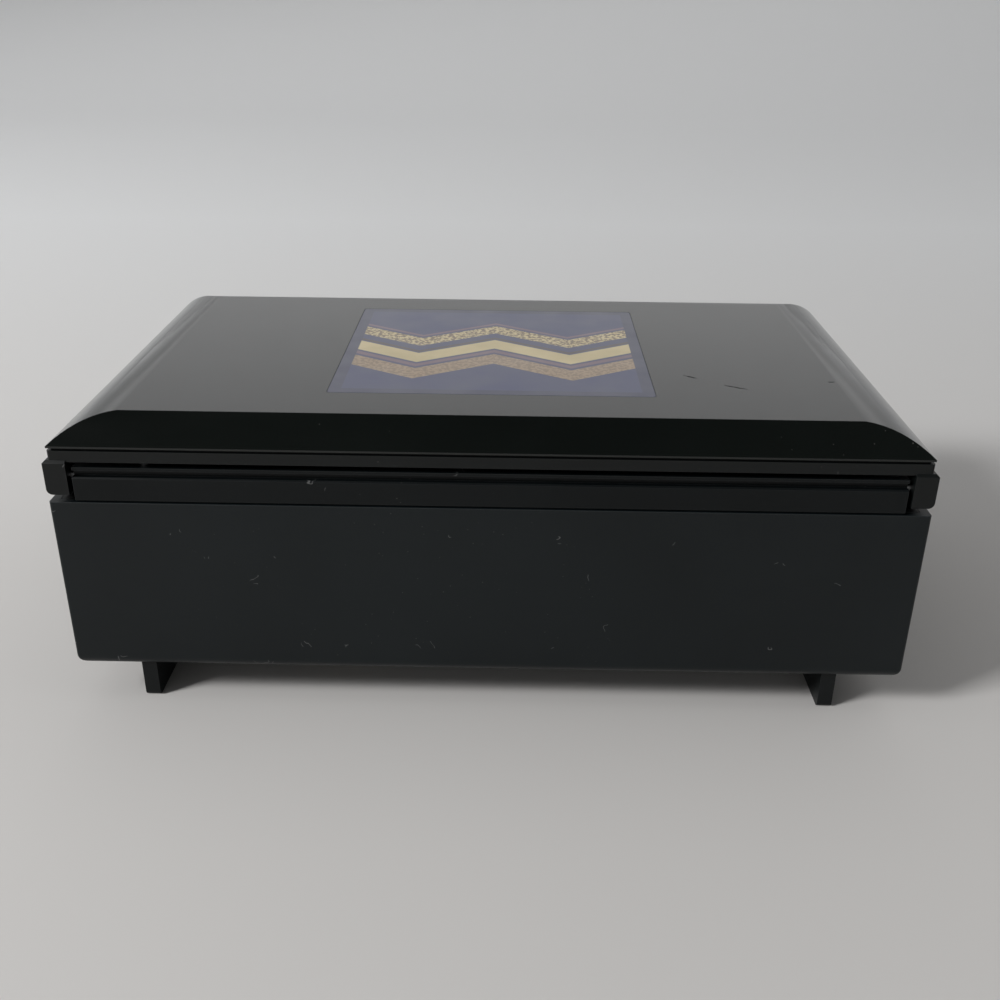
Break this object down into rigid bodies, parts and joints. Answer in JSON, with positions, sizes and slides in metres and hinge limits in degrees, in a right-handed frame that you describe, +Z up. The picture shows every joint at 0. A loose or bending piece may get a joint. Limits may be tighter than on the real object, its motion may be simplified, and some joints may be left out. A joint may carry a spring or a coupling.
{
  "type": "musical jewellery box",
  "caption": "Footed jewellery box with a hinged crowned lid and mirror, a compartment tray with ring rolls, a front drawer and a wind-up comb-and-cylinder movement.",
  "frame": {"origin": "bottom centre of the whole box, on the surface under the feet, knob included", "axes": "+X to the right seen from the drawer side, +Y from the drawer to the hinges, +Z up"},
  "size_m": [0.23, 0.15, 0.0854],
  "materials": {
    "case_plastic": "moulded, satin gloss",
    "foot_plastic": "moulded, matt",
    "screw_steel": "zinc plated",
    "frame_plastic": "moulded, satin gloss",
    "pin_steel": "ground",
    "tray_flock": "flocked",
    "clear_plastic": "clear polished",
    "roll_velvet": "velvet",
    "runner_plastic": "moulded, matt",
    "drawer_plastic": "moulded, satin",
    "lining_velvet": "velvet on card",
    "knob_brass": "polished",
    "lid_plastic": "moulded, satin gloss",
    "inlay_print": "printed, clear gloss coat",
    "liner_flock": "flocked card",
    "mirror_glass": "silvered",
    "bezel_plastic": "moulded, gloss",
    "bumper_rubber": "soft matt",
    "bed_metal": "cast, tumbled",
    "comb_steel": "ground spring steel",
    "housing_metal": "nickel plated, drawn",
    "spring_steel": "blued",
    "arbor_steel": "turned",
    "wheel_brass": "stamped",
    "key_metal": "stamped, worn",
    "cylinder_brass": "turned, pinned",
    "nylon_gear": "moulded nylon",
    "bracket_metal": "folded",
    "fly_plastic": "moulded",
    "plunger_metal": "drawn wire"
  },
  "bodies": {
    "case": {"lower_case": "case_plastic", "left_foot": "foot_plastic", "right_foot": "foot_plastic", "foot_screws": "screw_steel", "upper_frame": "frame_plastic", "hinge_pins": "pin_steel", "jewel_tray": "tray_flock", "movement_window": "clear_plastic", "ring_rolls": "roll_velvet", "drawer_runners": "runner_plastic", "bedplate": "bed_metal", "movement_screws": "screw_steel", "comb": "comb_steel", "comb_screws": "screw_steel", "spring_housing": "housing_metal", "mainspring": "spring_steel", "governor_bracket": "bracket_metal"},
    "lid": {"lid_cover": "lid_plastic", "lid_frame": "lid_plastic", "picture_inlay": "inlay_print", "lid_liner": "liner_flock", "mirror": "mirror_glass", "mirror_bezel": "bezel_plastic", "lid_screws": "screw_steel", "lid_bumpers": "bumper_rubber"},
    "drawer": {"drawer_box": "drawer_plastic", "drawer_front": "case_plastic", "drawer_lining": "lining_velvet", "drawer_dividers": "lining_velvet", "drawer_knob": "knob_brass", "drawer_screws": "screw_steel"},
    "key": {"winding_key": "key_metal", "winding_arbor": "arbor_steel", "crown_wheel": "wheel_brass"},
    "cylinder": {"pinned_cylinder": "cylinder_brass", "cylinder_shaft": "arbor_steel", "end_gear": "wheel_brass", "drive_gear": "wheel_brass"},
    "governor": {"governor_pinion": "arbor_steel", "worm_wheel": "nylon_gear"},
    "fly": {"fly_shaft": "arbor_steel", "air_brake": "fly_plastic"},
    "stop": {"stop_plunger": "plunger_metal"}
  },
  "joints": [
    {"name": "lid_hinge", "type": "hinge", "parent": "case", "child": "lid", "pos_m": [0, 0.071, 0.0687], "axis": [-1, 0, 0], "range_deg": [0, 100]},
    {"name": "drawer_slide", "type": "slide", "parent": "case", "child": "drawer", "axis": [0, -1, 0], "range_m": [0, 0.065]},
    {"name": "fly_spin", "type": "hinge", "parent": "case", "child": "fly", "pos_m": [0.0901, 0.05676, 0.0311], "axis": [0, 0, 1], "continuous": true},
    {"name": "governor_spin", "type": "hinge", "parent": "case", "child": "governor", "pos_m": [0, 0.05166, 0.0311], "axis": [1, 0, 0], "continuous": true},
    {"name": "cylinder_spin", "type": "hinge", "parent": "case", "child": "cylinder", "pos_m": [0, 0.043, 0.0261], "axis": [1, 0, 0], "continuous": true},
    {"name": "key_spin", "type": "hinge", "parent": "case", "child": "key", "pos_m": [0.044, 0.043, 0.01], "axis": [0, 0, 1], "continuous": true},
    {"name": "stop_slide", "type": "slide", "parent": "case", "child": "stop", "axis": [0, 0, 1], "range_m": [0, 0.003]}
  ],
  "couplings": [
    {"joint": "governor_spin", "follows": "cylinder_spin", "ratio": -4},
    {"joint": "fly_spin", "follows": "cylinder_spin", "ratio": 80},
    {"joint": "key_spin", "follows": "cylinder_spin", "ratio": -0.46667},
    {"joint": "stop_slide", "follows": "lid_hinge", "m_per_rad": 0.0017}
  ]
}
